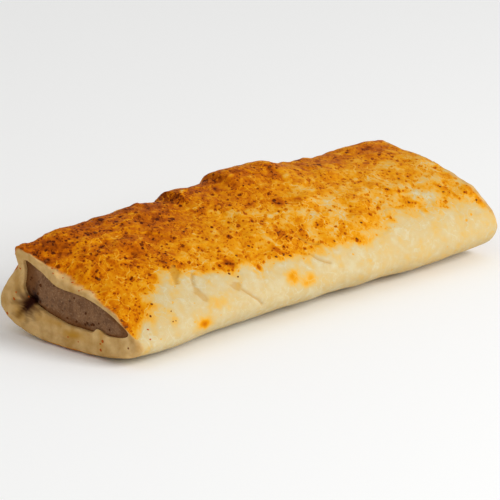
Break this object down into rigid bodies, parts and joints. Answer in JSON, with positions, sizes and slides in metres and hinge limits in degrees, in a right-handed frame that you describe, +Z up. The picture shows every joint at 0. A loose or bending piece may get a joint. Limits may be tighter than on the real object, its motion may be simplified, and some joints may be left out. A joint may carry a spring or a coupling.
{
  "type": "sausage roll",
  "caption": "Large baked sausage roll: a golden puff pastry crust round a core of sausage meat, cut square at both ends.",
  "frame": {"origin": "middle of the base, on the surface that the roll stands on", "axes": "+X along the roll, away from the cut end with the burnt juice spot; +Y to the side with the high ridge; +Z up"},
  "size_m": [0.154, 0.0579, 0.0331],
  "materials": {
    "baked_pastry": "egg-washed puff pastry, golden brown and speckled on top, pale cream on the sides and ends",
    "sausage_meat": "cooked sausage meat, dull grey-brown, fine-grained"
  },
  "bodies": {
    "root": {"pastry_crust": "baked_pastry", "sausage_filling": "sausage_meat"}
  },
  "joints": []
}
